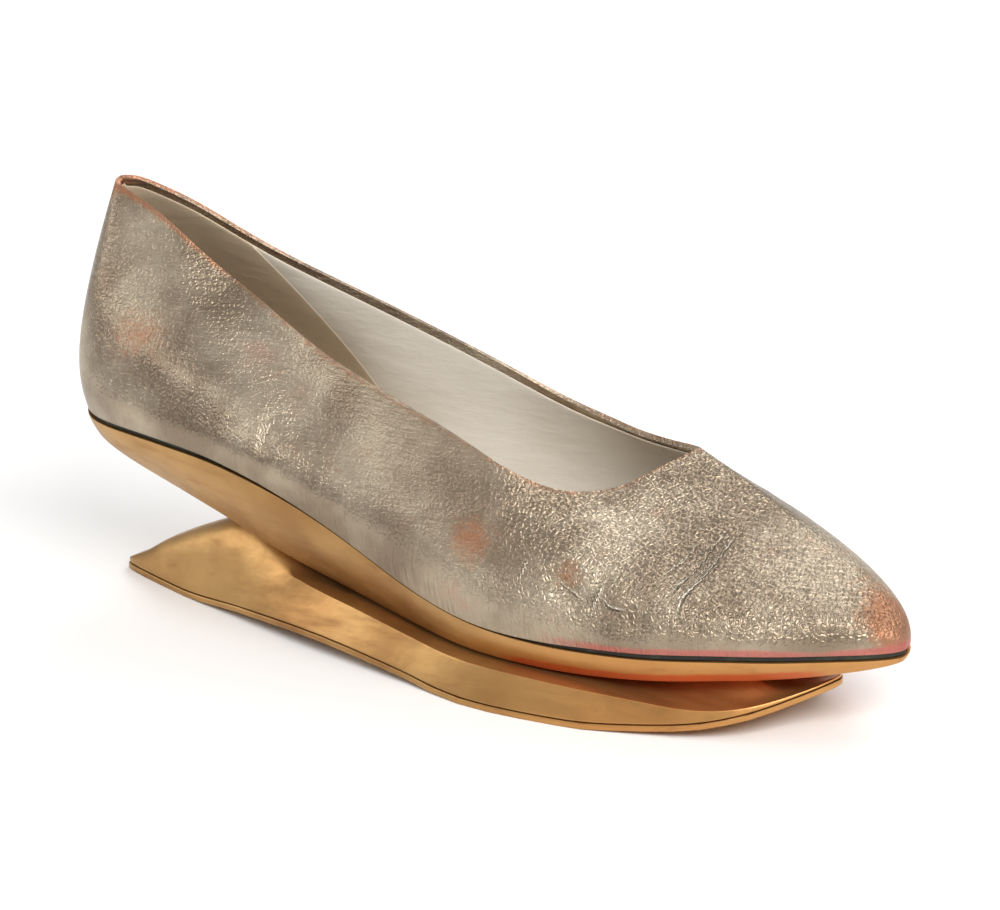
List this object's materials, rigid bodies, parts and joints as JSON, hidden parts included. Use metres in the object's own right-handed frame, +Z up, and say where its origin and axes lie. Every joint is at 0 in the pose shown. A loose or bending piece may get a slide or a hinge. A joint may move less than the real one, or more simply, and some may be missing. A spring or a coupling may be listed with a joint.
{
  "type": "platform shoe",
  "caption": "Pointed low-cut leather shoe on a carved, gilded wooden platform with a tapered rear wing and a notch under the heel.",
  "frame": {"origin": "on the floor, under the middle of the bounding box", "axes": "+X from heel to toe, +Y towards the inner side of the right foot, +Z up"},
  "size_m": [0.2474, 0.0792, 0.1091],
  "materials": {
    "metallic_leather": "champagne metallic, fine grain, rubbed to bronze and pink at edges",
    "sock_lining": "matt cream lining leather",
    "board_edge": "dark stained board edge",
    "gilded_wood": "old gold leaf over wood, satin, worn to red-brown",
    "gilded_leather": "gold paint on the edge, satin"
  },
  "bodies": {
    "root": {"upper": "metallic_leather", "insole": "sock_lining", "insole_board": "board_edge", "sole_board": "gilded_wood", "platform_base": "gilded_wood", "tread_sole": "gilded_leather"}
  },
  "joints": []
}
